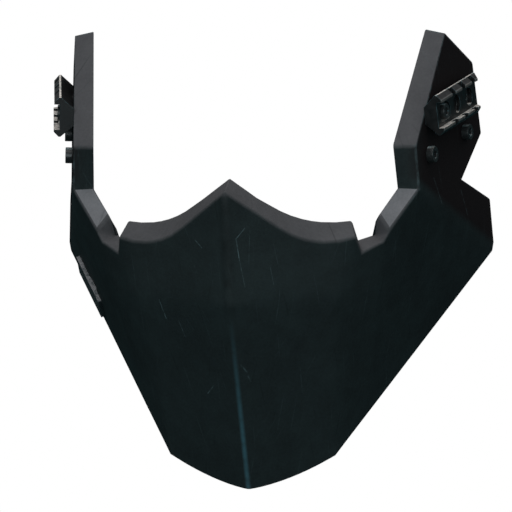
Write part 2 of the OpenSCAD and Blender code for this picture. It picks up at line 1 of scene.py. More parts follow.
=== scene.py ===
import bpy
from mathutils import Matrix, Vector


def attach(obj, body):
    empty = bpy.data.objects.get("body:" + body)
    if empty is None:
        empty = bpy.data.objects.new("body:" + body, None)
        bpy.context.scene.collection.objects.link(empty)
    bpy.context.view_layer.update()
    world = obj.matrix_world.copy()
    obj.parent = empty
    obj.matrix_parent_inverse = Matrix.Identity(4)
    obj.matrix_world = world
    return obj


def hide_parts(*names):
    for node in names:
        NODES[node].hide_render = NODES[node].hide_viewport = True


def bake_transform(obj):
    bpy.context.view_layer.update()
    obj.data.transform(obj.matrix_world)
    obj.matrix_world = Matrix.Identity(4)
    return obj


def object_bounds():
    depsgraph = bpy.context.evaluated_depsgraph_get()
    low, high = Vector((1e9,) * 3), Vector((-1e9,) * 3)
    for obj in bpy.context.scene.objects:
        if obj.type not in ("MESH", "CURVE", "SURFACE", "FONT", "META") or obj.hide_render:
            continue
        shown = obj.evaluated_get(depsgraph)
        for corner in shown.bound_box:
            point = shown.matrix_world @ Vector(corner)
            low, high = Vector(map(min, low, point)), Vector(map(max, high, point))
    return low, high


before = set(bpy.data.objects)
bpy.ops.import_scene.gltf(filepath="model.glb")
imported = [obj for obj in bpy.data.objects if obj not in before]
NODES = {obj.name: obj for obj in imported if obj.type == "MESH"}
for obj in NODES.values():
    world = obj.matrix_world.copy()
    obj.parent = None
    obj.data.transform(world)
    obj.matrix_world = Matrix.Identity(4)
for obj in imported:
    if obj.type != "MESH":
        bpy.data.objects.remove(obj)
CAD_BOX = [list(corner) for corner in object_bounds()]

import math

import bmesh
import bpy
import numpy as np
from mathutils import Matrix, Vector
from mathutils.bvhtree import BVHTree

bl_info = {
    "name": "Helmet mandible guard",
    "version": (1, 0, 0),
    "blender": (4, 5, 0),
    "location": "View3D > Sidebar > Guard",
    "description": "Dresses the model of a helmet mandible guard with its worn shell, hardware and pads",
    "category": "Object",
}

MM = 0.001


def colour(code):
    """Linear colour of an sRGB hex value."""
    parts = [int(code[i:i + 2], 16) / 255 for i in (0, 2, 4)]
    return [c / 12.92 if c <= 0.04045 else ((c + 0.055) / 1.055) ** 2.4 for c in parts]


def paint(name, text, code):
    return bpy.props.FloatVectorProperty(
        name=name, description=text, subtype="COLOR", size=3, min=0, max=1, default=colour(code))


def length(name, text, mm):
    return bpy.props.FloatProperty(
        name=name, description=text, default=mm * MM, min=0, unit="LENGTH", precision=5)


def light(name, text, value, unit="POWER"):
    return bpy.props.FloatProperty(name=name, description=text, default=value, min=0, unit=unit)


class GuardShellSettings(bpy.types.PropertyGroup):
    rim: length("Rim rounding", "Width of the rounding along the shell's cut edges", 1.3)
    ridge: length("Upper ridge rounding", "Width of the rounding of the ridge below the nose", 3.4)
    keel: length("Lower ridge rounding", "Width of the rounding of the ridge over the chin", 1.5)
    bend: length("Bend step", "Size of the faces that round the bends of front and side", 4)
    coat: paint("Coat", "Colour of the outer coat", "141a1b")
    coat_pale: paint("Rubbed coat", "Colour of the coat where it is rubbed", "1e2728")
    cut: paint("Cut edge", "Colour of the bare cut edges", "3f3f41")
    # Painted shade: the arms' outer faces are painted blacker and warmer than the coat, where little cool
    # light from below reaches them
    arm: paint("Arm coat", "Colour of the coat on the arms' outer faces", "181516")
    # Painted highlight: the line down the lower ridge stands in for the reflection on its rounding
    line: paint("Ridge line", "Colour of the worn line down the lower ridge", "2b474f")
    scratch: paint("Scratch", "Colour of a fresh scratch in the coat", "46575a")


class GuardHardwareSettings(bpy.types.PropertyGroup):
    head_d: length("Head diameter", "Diameter of the cap screws' heads", 8.5)
    head_h: length("Head height", "Height of the cap screws' heads", 3.9)
    socket: length("Socket width", "Width of the hex socket over its flats", 4)
    socket_depth: length("Socket depth", "Depth of the hex socket", 2.2)
    shank_d: length("Shank diameter", "Diameter of the cap screws' threads", 5)
    edge: length("Edge rounding", "Width of the rounding on rails and screws", 0.4)
    anodised: paint("Anodised", "Colour of the rails' black anodising", "0f1112")
    oxide: paint("Oxide", "Colour of the screws' black oxide", "26292a")
    # Worn edges show lighter metal, tinted teal as a painted reflection of the cool light from below
    bare: paint("Worn metal", "Colour of worn edges of the hardware", "5c8791")


class GuardSoftSettings(bpy.types.PropertyGroup):
    swell: length("Swell", "Most that the foam lifts the pads' cover", 2.6)
    welt: length("Welt", "Diameter of the welt round each pad", 2.2)
    inset: length("Stitch inset", "Distance of the stitched line from the pads' outline", 6)
    pitch: length("Stitch pitch", "Distance from stitch to stitch", 3.4)
    thread: length("Thread", "Diameter of the sewing thread", 0.55)
    knit: paint("Knit", "Colour of the pads' knitted cover", "1c1d1f")
    loop: paint("Loop", "Colour of the looped lining", "232426")
    yarn: paint("Thread", "Colour of the sewing thread", "3a3b3d")


class GuardStageSettings(bpy.types.PropertyGroup):
    floor: length("Floor drop", "Height of the floor below the origin", 300)
    sky: light("Sky", "Strength of the even light from above", 1, "NONE")
    top: light("Top lamp", "Power of the lamp overhead", 11)
    front: light("Front lamp", "Power of the lamp in front", 18)


def feed(node, inputs):
    """Gives a node's inputs, by name or in their order, a value or another node's socket each."""
    for key, value in inputs.items() if isinstance(inputs, dict) else enumerate(inputs):
        if isinstance(value, bpy.types.NodeSocket):
            node.id_data.links.new(value, node.inputs[key])
        else:
            node.inputs[key].default_value = value


def add(tree, kind, inputs=(), out=0, **settings):
    """Adds a node with its settings and links; gives one of its outputs, or all of them for None.

    kind needs no ShaderNode in front, and the node's operation can follow it after a space."""
    kind, _, operation = kind.partition(" ")
    made = tree.nodes.new(kind if "Node" in kind else "ShaderNode" + kind)
    if operation:
        made.operation = operation
    for key, value in settings.items():
        setattr(made, key, value)
    feed(made, inputs)
    return made.outputs if out is None else made.outputs[out]


def finish_of(name, base, roughness, metallic=0.0, level=0.5, sheen=0.0):
    """A new material, with its tree, its shader and its place on the object."""
    made = bpy.data.materials.new(name)
    made.use_nodes = True
    tree = made.node_tree
    tree.nodes.clear()
    shader = add(tree, "BsdfPrincipled", {
        "Base Color": (*base, 1), "Roughness": roughness, "Metallic": metallic,
        "Specular IOR Level": level, "Sheen Weight": sheen})
    add(tree, "OutputMaterial", {"Surface": shader}, out=None)
    return made, tree, shader.node, add(tree, "TexCoord", out="Object")


def speckle(tree, where, mm, detail=2.0, low=0.35, high=0.65):
    """Soft noise from 0 to 1 with blotches of that size."""
    noise = add(tree, "TexNoise", {"Vector": where, "Scale": 1 / (mm * MM), "Detail": detail})
    return add(tree, "MapRange", [noise, low, high])


def mixed(tree, share, a, b):
    """Colour a where share is 0 and b where it is 1."""
    a, b = [x if isinstance(x, bpy.types.NodeSocket) else (*x, 1) for x in (a, b)]
    return add(tree, "Mix", {0: share, 6: a, 7: b}, data_type="RGBA", out=2)


def merged(name, flat=0.3):
    """The mesh of a CAD node with its loose triangles joined and its flat faces made whole."""
    bm = bmesh.new()
    bm.from_mesh(NODES[name].data)
    bmesh.ops.remove_doubles(bm, verts=bm.verts, dist=2e-6)
    if flat:
        bmesh.ops.dissolve_limit(bm, angle_limit=math.radians(flat), verts=bm.verts, edges=bm.edges)
    return bm


def new_piece(name, mesh, *materials):
    """An object at the origin from a bmesh or a mesh."""
    if isinstance(mesh, bmesh.types.BMesh):
        bm, mesh = mesh, bpy.data.meshes.new(name)
        bm.to_mesh(mesh)
        bm.free()
    piece = bpy.data.objects.new(name, mesh)
    bpy.context.scene.collection.objects.link(piece)
    for material in materials:
        mesh.materials.append(material)
    return piece


def bake(piece):
    """Makes the piece's modifiers part of its mesh."""
    graph = bpy.context.evaluated_depsgraph_get()
    mesh = bpy.data.meshes.new_from_object(
        piece.evaluated_get(graph), preserve_all_data_layers=True, depsgraph=graph)
    old, name = piece.data, piece.data.name
    piece.modifiers.clear()
    piece.data = mesh
    bpy.data.meshes.remove(old)
    mesh.name = name


def smooth(piece, angle=40):
    """Smooth shading that keeps flat faces flat and breaks at sharp edges."""
    piece.data.shade_smooth()
    piece.data.set_sharp_from_angle(angle=math.radians(angle))
    fair = piece.modifiers.new("Flat faces", "WEIGHTED_NORMAL")
    fair.keep_sharp = True
    bake(piece)


def round_edges(piece, width, angle=30):
    """Rounds every edge that is sharper than the angle."""
    bevel = piece.modifiers.new("Rounded edges", "BEVEL")
    bevel.width, bevel.segments = width, 2
    bevel.limit_method, bevel.angle_limit = "ANGLE", math.radians(angle)
    bevel.use_clamp_overlap = True
    bake(piece)


def settle(piece, body, finish, *stands_for):
    """Rides on its body and hides the CAD nodes that it stands for; finish is not used."""
    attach(piece, body)
    if stands_for:
        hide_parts(*stands_for)


def run_tree(piece, tree, **values):
    """Runs a geometry tree on a piece and keeps its result as a plain mesh."""
    modifier = piece.modifiers.new(tree.name, "NODES")
    modifier.node_group = tree
    for item in tree.interface.items_tree:
        key = item.name.lower().replace(" ", "_")
        if item.in_out == "INPUT" and key in values:
            modifier[item.identifier] = values[key]
    bake(piece)


def new_tree(name, lengths):
    """A geometry tree that is given a mesh, some lengths in millimetres and a finish."""
    tree = bpy.data.node_groups.new(name, "GeometryNodeTree")
    for label, way, kind in [("Geometry", "INPUT", "Geometry"), ("Geometry", "OUTPUT", "Geometry"),
                             ("Finish", "INPUT", "Material")] + [(key, "INPUT", "Float") for key in lengths]:
        socket = tree.interface.new_socket(label, in_out=way, socket_type="NodeSocket" + kind)
        if kind == "Float":
            socket.default_value = lengths[label] * MM
    return tree, add(tree, "NodeGroupInput", out=None)


def finished(tree, given, shape):
    """Ends a geometry tree with its instances made real, in the finish that it is given."""
    solid = add(tree, "GeometryNodeRealizeInstances", {"Geometry": shape})
    done = add(tree, "GeometryNodeSetMaterial", {"Geometry": solid, "Material": given["Finish"]})
    add(tree, "NodeGroupOutput", {"Geometry": done}, out=None)
    return tree


# Shell

# Long marks that the coat carries: ends in millimetres, width in millimetres and strength
MARKS = [
    ((9.3, -98.4, -42.5), (4.8, -100.7, -47.8), 0.35, 0.8),
    ((4.8, -100.7, -47.8), (6.0, -100.6, -58), 0.4, 0.9),
    ((6.0, -100.6, -58), (8.0, -99.6, -74), 0.35, 0.55),
    ((-18.1, -94.5, -49.9), (-14.2, -96.2, -53.6), 0.45, 0.5),
    ((-41.4, -84.5, -84.7), (-39.8, -85.3, -95), 0.4, 0.8),
    ((-33.0, -89.0, -95), (-31.6, -89.6, -104), 0.3, 0.5),
    ((20.6, -93.7, -63.5), (22.0, -93.2, -74), 0.3, 0.35),
    ((97.2, -25.5, -33.9), (100.2, -17.8, -50.4), 0.4, 0.5),
    ((105.8, 8.8, -48.8), (108.2, 14.2, -63.8), 0.35, 0.4),
    ((2.8, -93.6, -117.3), (5.3, -91.3, -121.7), 0.7, 0.4),
    ((5.6, -90.5, -124.0), (6.6, -89.0, -127.5), 0.6, 0.35),
    ((-20.0, -84.0, -136.0), (-15.0, -86.0, -131.0), 0.5, 0.45),
]


# Room across each scattered scratch, in widths of one scratch
DASH_SPACE = 12
# Most thickness of the wall; top of the lower ridge; where an arm begins and where its ear does
WALL_MOST, KEEL_TOP, ARM_SIDE, EAR_SIDE = 0.0125, -0.085, 0.08, 0.11
# A place in the head, which the inside faces
HEAD = Vector((0, 0.02, -0.06))
# Rounds that even out the bends, and that spread wear and the painted rim highlight over a rounding
SOFT_ROUNDS, WEAR_AND_HIGHLIGHT_ROUNDS = 14, 20


def unrolled(x, y, z):
    """Place on the shell with its front and sides laid flat, in metres."""
    return 0.9 * abs(x) + 0.8 * y + (0.4 if x < 0 else 0), z, 0


def lay_flat(tree, where):
    """The same as nodes, with the parts of the place that they start from."""
    xyz = add(tree, "SeparateXYZ", [where], out=None)
    across = add(tree, "Math ABSOLUTE", [xyz[0]])
    across = add(tree, "Math MULTIPLY", [across, 0.9])
    other = add(tree, "Math LESS_THAN", [xyz[0], 0.0])
    for part, share in ((xyz[1], 0.8), (other, 0.4)):
        across = add(tree, "Math MULTIPLY_ADD", [part, share, across])
    return add(tree, "CombineXYZ", [across, xyz[2]]), xyz


def stroke(tree, flat, a, b, width, strength):
    """1 along a straight scratch and 0 away from it, on the laid-flat shell."""
    a, b = [Vector(unrolled(*(Vector(p) * MM))) for p in (a, b)]
    run = b - a
    off = add(tree, "VectorMath SUBTRACT", [flat, a])
    share = add(tree, "VectorMath DOT_PRODUCT", [off, run / run.length_squared], out="Value")
    share = add(tree, "Clamp", [share])
    along = add(tree, "VectorMath SCALE", {0: run, "Scale": share})
    gap = add(tree, "VectorMath DISTANCE", [off, along], out="Value")
    return add(tree, "MapRange", [gap, 0.0, width * MM, strength, 0.0], interpolation_type="SMOOTHSTEP")


def dashes(tree, flat, angle, long_mm, wide_mm, keep):
    """Short scattered scratches at one angle; keep is the share of places that have one."""
    turned = add(tree, "Mapping", {0: flat, 2: (0, 0, math.radians(angle)), 3: (
        long_mm * MM, wide_mm * DASH_SPACE * MM, 1)}, vector_type="TEXTURE")
    cells = add(tree, "TexVoronoi", {0: turned, "Scale": 1.0, "Randomness": 1.0},
                voronoi_dimensions="2D", out=None)
    off = add(tree, "VectorMath SUBTRACT", [turned, cells["Position"]])
    off = add(tree, "SeparateXYZ", [off], out=None)
    pick = add(tree, "SeparateColor", [cells["Color"]])
    pick = add(tree, "MapRange", [pick, 1 - keep, 1.0])
    for axis, full, end in ((1, 0.0, 1 / DASH_SPACE), (0, 0.15, 0.4)):
        near = add(tree, "Math ABSOLUTE", [off[axis]])
        near = add(tree, "MapRange", [near, full, end, 1.0, 0.0])
        pick = add(tree, "Math MULTIPLY", [pick, near])
    return pick


def shell_finish(s):
    """Moulded fibre laminate under a satin coat that is rubbed, scratched and chipped, with painted shade on
    the arms' outer faces and painted highlights on the lower ridge, the inner rims and the slopes to the
    notches.
    """
    made, tree, shader, where = finish_of("laminate_moulded_satin_coat", s.coat, 0.62, level=0.1)
    flat, xyz = lay_flat(tree, where)
    dark = [c * 0.35 for c in s.coat]
    cut, edge = [add(tree, "Attribute", attribute_name=name, out="Fac") for name in ("cut", "edge")]
    # Blotches of a hand's breadth, of a finger's and of the coat's own grain
    blotch = speckle(tree, where, 9, 4, 0.35, 0.7)
    grain = speckle(tree, where, 1.3, 3, 0.3, 0.75)
    tone = 0.0
    for noise, share in ((speckle(tree, where, 45, 3, 0.3, 0.7), 0.45), (blotch, 0.3), (grain, 0.35)):
        tone = add(tree, "Math MULTIPLY_ADD", [noise, share, tone])
    coat = mixed(tree, tone, s.coat, s.coat_pale)
    # The arms' outer faces are painted blacker and warmer, a painted shade where little of the cool light
    # from below reaches them; their coat is also less shiny
    off = add(tree, "Math ABSOLUTE", [xyz[0]])
    side = add(tree, "MapRange", [off, 0.086, 0.094])
    rise = add(tree, "Math MULTIPLY_ADD", [xyz[1], 0.62, xyz[2]])
    rise = add(tree, "MapRange", [rise, -0.062, -0.055], interpolation_type="SMOOTHSTEP")
    on_arm = add(tree, "Math MULTIPLY", [rise, side])
    coat = mixed(tree, on_arm, coat, s.arm)
    feed(shader, {"Specular IOR Level": add(tree, "MapRange", {0: on_arm, 3: 0.1, 4: 0.04})})
    # The upper ridge is darkly mottled; a teal line down the lower one is a painted highlight, standing in
    # for the reflection on its rounding
    dim = add(tree, "MapRange", [off, 1.5 * MM, 5 * MM, 0.6, 0.0], interpolation_type="SMOOTHSTEP")
    for share in (blotch, add(tree, "MapRange", [xyz[2], -0.094, -0.08])):
        dim = add(tree, "Math MULTIPLY", [dim, share])
    coat = mixed(tree, dim, coat, dark)
    front = add(tree, "Math MULTIPLY_ADD", [xyz[2], 0.2568, xyz[1]])
    ridge_highlight = add(tree, "MapRange", [off, 0.3 * MM, 1.7 * MM, 1.0, 0.0])
    for share in (add(tree, "MapRange", [front, -0.117, -0.12]),
                  add(tree, "MapRange", [xyz[2], -0.09, -0.16]),
                  speckle(tree, where, 6, 3, 0.0, 0.5)):
        ridge_highlight = add(tree, "Math MULTIPLY", [ridge_highlight, share])
    coat = mixed(tree, ridge_highlight, coat, s.line)
    # Bare laminate; above 1 the cut attribute makes it paler, as painted highlights along the inner rims and
    # on the slopes to the notches
    bare = mixed(tree, tone, [c * 0.82 for c in s.cut], [c * 1.2 for c in s.cut])
    pale = add(tree, "Math MAXIMUM", [cut, 1.0])
    bare = add(tree, "VectorMath SCALE", {0: bare, "Scale": pale})
    skin = mixed(tree, cut, coat, bare)
    # Scratches that catch the light, and dark ones that don't
    pale = 0.0
    for a, b, width, strength in MARKS:
        line = stroke(tree, flat, a, b, width, strength)
        pale = add(tree, "Math MAXIMUM", [pale, line])
    for angle, long_mm, wide_mm, keep, strength in (
            (84, 30, 0.3, 0.12, 0.3), (101, 24, 0.3, 0.1, 0.26), (62, 20, 0.25, 0.06, 0.2)):
        line = dashes(tree, flat, angle, long_mm, wide_mm, keep)
        line = add(tree, "Math MULTIPLY", [line, strength])
        pale = add(tree, "Math MAXIMUM", [pale, line])
    pale = add(tree, "Math MULTIPLY", [pale, speckle(tree, where, 2.2, 2, 0.3, 0.6)])
    skin = mixed(tree, pale, skin, s.scratch)
    deep = [dashes(tree, flat, 80, 26, 0.6, 0.16), dashes(tree, flat, 108, 22, 0.5, 0.12)]
    deep = add(tree, "Math MAXIMUM", deep)
    deep = add(tree, "Math MULTIPLY", [deep, 0.4])
    skin = mixed(tree, deep, skin, dark)
    # Rubbed edges on the arms, where the hand takes the guard
    for share in (speckle(tree, where, 5, 4, 0.4, 0.62), side, 0.5):
        edge = add(tree, "Math MULTIPLY", [edge, share])
    relief = add(tree, "Math MULTIPLY_ADD", [pale, -1.5, grain])
    feed(shader, {
        "Base Color": mixed(tree, edge, skin, s.scratch),
        "Roughness": add(tree, "MapRange", {0: tone, 3: 0.7, 4: 0.54}),
        "Normal": add(tree, "Bump", {"Height": relief, "Strength": 0.5, "Distance": 0.06 * MM})})
    return made


def sort_faces(bm, limit):
    """Gives each smooth region of the shell's faces one kind: 0 outside, 1 cut edge, 2 inside."""
    walls = BVHTree.FromBMesh(bm)
    waiting = set(bm.faces)
    while waiting:
        region, stack = [], [waiting.pop()]
        while stack:
            face = stack.pop()
            region.append(face)
            near = waiting.intersection(other for edge in face.edges if edge.calc_face_angle(0) < limit
                                        for other in edge.link_faces)
            waiting -= near
            stack.extend(near)
        votes = [0, 0, 0]
        for face in region:
            middle = face.calc_center_median()
            spots = [middle] + [middle.lerp(v.co, 0.6) for v in face.verts]
            share = face.calc_area() / len(spots)
            for spot in spots:
                hit = walls.ray_cast(spot - face.normal * 1e-5, -face.normal)
                rim = hit[0] is None or hit[3] > WALL_MOST or hit[1].dot(face.normal) > -0.8
                votes[1 if rim else 0 if face.normal.dot(spot - HEAD) > 0 else 2] += share
        kind = votes.index(max(votes))
        for face in region:
            middle = face.calc_center_median()
            coated = abs(middle.x) > ARM_SIDE and -0.06 < middle.y < -0.03 and -0.037 < middle.z < -0.0115
            face.material_index = 0 if kind == 1 and coated else kind


def slice_up(bm, step):
    """Cuts the mesh along even planes, clear of its own flats, so that large faces can bend."""
    low, high = [Vector(v) for v in CAD_BOX]
    for axis in range(3):
        for i in range(1, int((high[axis] - low[axis]) / step)):
            plane = Vector()
            plane[axis] = 1
            at = plane * (low[axis] + (i + 0.37) * step)
            bmesh.ops.bisect_plane(bm, geom=bm.verts[:] + bm.edges[:] + bm.faces[:],
                                   dist=1e-6, plane_co=at, plane_no=plane)


def soften(bm, rounds):
    """Evens out the outside and the inside between the cut edges, clear of ridge and fittings."""
    free = []
    for vertex in bm.verts:
        kinds = {face.material_index for face in vertex.link_faces}
        p = vertex.co
        arm = Vector((abs(p.x), p.y, p.z)) - ARM_START * MM
        fittings = abs(arm.dot(ARM_BACK)) < 0.037 and -0.032 < arm.dot(ARM_UP) < 0.02
        if kinds in ({0}, {2}) and abs(p.x) > 0.009 and not fittings:
            free.append(vertex)
    for _ in range(rounds):
        bmesh.ops.smooth_vert(bm, verts=free, factor=0.5, use_axis_x=True, use_axis_y=True,
                              use_axis_z=True)


def weigh_edges(bm, s):
    """Gives each edge its share of the widest rounding and returns that width."""
    weight = bm.edges.layers.float.new("bevel_weight_edge")
    most = max(s.rim, s.ridge, s.keel)
    for edge in bm.edges:
        angle, size = math.degrees(edge.calc_face_angle(0)), edge.calc_length()
        a, b = edge.verts[0].co, edge.verts[1].co
        middle = (a + b) / 2
        kinds = {face.material_index for face in edge.link_faces}
        if kinds == {0} and abs(a.x) + abs(b.x) < 2e-4 and angle > 30:
            edge[weight] = (s.ridge if middle.z > KEEL_TOP else s.keel) / most
        elif angle > 38 and size > 0.0026 and min(
                face.calc_area() for face in edge.link_faces) > 0.002 * size:
            recess = kinds <= {1, 2} and abs(middle.x) > ARM_SIDE and -0.03 < middle.z < 0.01 \
                and -0.034 < middle.y < 0.0325
            edge[weight] = (0.2 * MM if recess else s.rim) / most
    return most


def mark_wear_and_highlights(mesh):
    """Stores where the shell is bare, as cut, with painted highlights above 1, and where its edges are
    rounded, as edge.
    """
    at = {}
    for polygon in mesh.polygons:
        if polygon.material_index < 3:
            kind = Vector((polygon.material_index == 1, polygon.material_index == 2))
            for v in polygon.vertices:
                at.setdefault(v, []).append(kind)
    # Over each rounding the bare edge passes evenly into the coat, with a painted highlight line along the
    # inside rim
    none = Vector((0, 0))
    level = {v: sum(near, none) / len(near) for v, near in at.items()}
    between = {v.index: [] for v in mesh.vertices if v.index not in at}
    level.update((v, none) for v in between)
    for edge in mesh.edges:
        for v, w in (edge.vertices, reversed(edge.vertices)):
            if v in between:
                between[v].append(w)
    for _ in range(WEAR_AND_HIGHLIGHT_ROUNDS):
        for v, beside in between.items():
            level[v] = sum((level[w] for w in beside), none) / len(beside)
    cut = mesh.attributes.new("cut", "FLOAT", "CORNER")
    rub = mesh.attributes.new("edge", "FLOAT", "CORNER")
    for polygon in mesh.polygons:
        # The slopes to the notches are painted palest, a painted highlight where they face the light from
        # above and in front
        middle, way = polygon.center, polygon.normal
        slope = middle.z < -0.034 and abs(middle.x) > 0.07 and way.y < -0.8 and way.z > 0.4
        for corner, v in zip(polygon.loop_indices, polygon.vertices):
            if polygon.material_index < 3:
                cut.data[corner].value = 0.0 if polygon.material_index != 1 else 2.2 if slope else 1.0
            else:
                bare, inside = level[v]
                cut.data[corner].value = bare + 4 * bare * inside
                rub.data[corner].value = float(v in between)


class GUARD_OT_shell(bpy.types.Operator):
    """Makes the moulded shell with its rounded ridges, cut edges and worn coat"""
    bl_idname = "guard.shell"
    bl_label = "Shell"

    def execute(self, context):
        s = context.scene.guard_shell
        bm = merged("shell")
        # The ear's heel ends in an edge that is too short to round
        short = [edge for edge in bm.edges
                 if abs(edge.verts[0].co.x) > EAR_SIDE and edge.calc_length() < s.rim]
        bmesh.ops.collapse(bm, edges=short)
        sort_faces(bm, math.radians(40))
        most = weigh_edges(bm, s)
        piece = new_piece("guard_shell", bm, *[shell_finish(s)] * 4)
        bevel = piece.modifiers.new("Rounded edges", "BEVEL")
        bevel.limit_method, bevel.width, bevel.segments = "WEIGHT", most, 4
        bevel.use_clamp_overlap, bevel.material = False, 3
        bake(piece)
        mesh = piece.data
        bm = bmesh.new()
        bm.from_mesh(mesh)
        slice_up(bm, s.bend)
        soften(bm, SOFT_ROUNDS)
        bm.to_mesh(mesh)
        bm.free()
        mark_wear_and_highlights(mesh)
        mesh.polygons.foreach_set("material_index", [0] * len(mesh.polygons))
        while len(mesh.materials) > 1:
            mesh.materials.pop()
        smooth(piece, 50)
        settle(piece, "guard", "shell", "shell")
        return {"FINISHED"}


# Hardware

def hard_finish(name, base, bare, roughness, wear, brushed=(1, 1, 1), metallic=1.0, worn_from=None,
                polished_and_highlight=(0.66, 0.61, 0.56)):
    """Metal with fine tool marks along one axis; its finish is rubbed off at the edges, and faces marked
    above 1 are painted bright.

    worn_from is the distance off the arm from which the whole surface is rubbed."""
    made, tree, shader, where = finish_of(name, base, roughness, metallic=metallic)
    stretched = add(tree, "Mapping", {0: where, 3: brushed})
    marks = add(tree, "TexNoise", {0: stretched, "Scale": 1 / (1.1 * MM), "Detail": 3})
    grime = speckle(tree, where, 3.5, 3, 0.35, 0.65)
    shade = add(tree, "MapRange", [marks, 0.3, 0.7, 0.7, 1.3])
    body = add(tree, "VectorMath SCALE", {0: base, "Scale": shade})
    # The edge attribute holds worn edges up to 1 and painted highlights above 1
    worn = add(tree, "Attribute", attribute_name="edge", out="Fac")
    if worn_from:
        side = add(tree, "VectorMath ABSOLUTE", [where])
        side = add(tree, "VectorMath DOT_PRODUCT", [side, (ARM_OUT.x, 0, 0)], out="Value")
        rest = add(tree, "VectorMath DOT_PRODUCT", [where, (0, ARM_OUT.y, ARM_OUT.z)], out="Value")
        high = add(tree, "Math ADD", [side, rest])
        start = ARM_OUT.x * 0.1 + worn_from * MM
        high = add(tree, "MapRange", {0: high, 1: start, 2: start + 0.3 * MM, 4: 0.12})
        rubbed = add(tree, "VectorMath SCALE", {0: polished_and_highlight, "Scale": shade})
        body = mixed(tree, high, body, rubbed)
    # Worn edges pass to the bare colour; its teal tint on rails, screws and buttons is a painted reflection
    edge = add(tree, "Math MINIMUM", [worn, 1.0])
    for share in (grime, wear):
        edge = add(tree, "Math MULTIPLY", [edge, share])
    body = mixed(tree, edge, body, bare)
    # Where the edge attribute is above 1 the metal is painted bright: a painted highlight of the light from
    # above on the rails and screws, and the bare upper edge on the jaw plate
    bright = add(tree, "MapRange", [worn, 1.0, 2.0])
    bright = add(tree, "Math MULTIPLY", [bright, speckle(tree, where, 2, 3, 0.3, 0.55)])
    feed(shader, {
        "Base Color": mixed(tree, bright, body, polished_and_highlight),
        "Roughness": add(tree, "MapRange", {0: grime, 3: roughness - 0.08, 4: roughness + 0.12}),
        "Normal": add(tree, "Bump", {"Height": marks, "Strength": 0.4, "Distance": 0.02 * MM})})
    return made


def mark_edges(piece, width, bright=None, level=2.0):
    """Stores 1 on the narrow faces that round a piece's edges, and level on small faces turned the bright
    way, which the finish paints bright: a painted highlight on rails and screws, the bare edge on the jaw
    plate.
    """
    mesh = piece.data
    rub = mesh.attributes.new("edge", "FLOAT", "FACE")
    for polygon in mesh.polygons:
        points = [mesh.vertices[v].co for v in polygon.vertices]
        sides = sorted((points[i] - points[i - 1]).length for i in range(len(points)))
        rub.data[polygon.index].value = float(sides[0] < 0.75 * width and len(points) < 6)
        if bright and polygon.normal.dot(bright) > 0.85 and polygon.area < 2e-4:
            rub.data[polygon.index].value = level


def rounded_copy(name, width, finish, body, slot, node, bright=None):
    """A CAD node's shape with its edges rounded."""
    piece = new_piece(name, merged(node), finish)
    round_edges(piece, width)
    mark_edges(piece, width, bright)
    smooth(piece)
    settle(piece, body, slot, node)


class GUARD_OT_rails(bpy.types.Operator):
    """Makes both cross-slotted accessory rails in worn black anodising"""
    bl_idname = "guard.rails"
    bl_label = "Accessory rails"

    def execute(self, context):
        h = context.scene.guard_hardware
        finish = hard_finish("aluminium_black_anodised", h.anodised, h.bare, 0.42, 0.8, (1, 0.12, 1),
                             metallic=0.35, worn_from=9.9)
        for side, word in SIDES:
            # Faces turned up along the arm get a painted highlight of the lamp overhead
            rounded_copy("rail_" + word, h.edge * 1.4, finish, "guard", "rail",
                         "accessory_rail_" + word, bright=mirrored(ARM_UP, side))
        return {"FINISHED"}


# The sign of x on each of the wearer's sides
SIDES = ((1, "left"), (-1, "right"))
# The left arm's origin in millimetres, and its own directions outward, rearward and up
ARM_START = Vector((100, 0, 0))
SPLAY, LEAN = math.radians(12.3), math.radians(4.4)
ARM_OUT = Vector((math.cos(SPLAY) * math.cos(LEAN), -math.sin(SPLAY) * math.cos(LEAN), math.sin(LEAN)))
ARM_BACK = Vector((math.sin(SPLAY), math.cos(SPLAY), 0))
ARM_UP = Vector((-math.cos(SPLAY) * math.sin(LEAN), math.sin(SPLAY) * math.sin(LEAN), math.cos(LEAN)))


def mirrored(v, side):
    """A vector of the left arm, or its mirror image for the right arm, whose side is -1."""
    return Vector((v.x * side, v.y, v.z))


def on_arm(side, u, a, b):
    """A point on an arm from its millimetres outward, rearward and up."""
    return mirrored((ARM_START + ARM_OUT * u + ARM_BACK * a + ARM_UP * b) * MM, side)


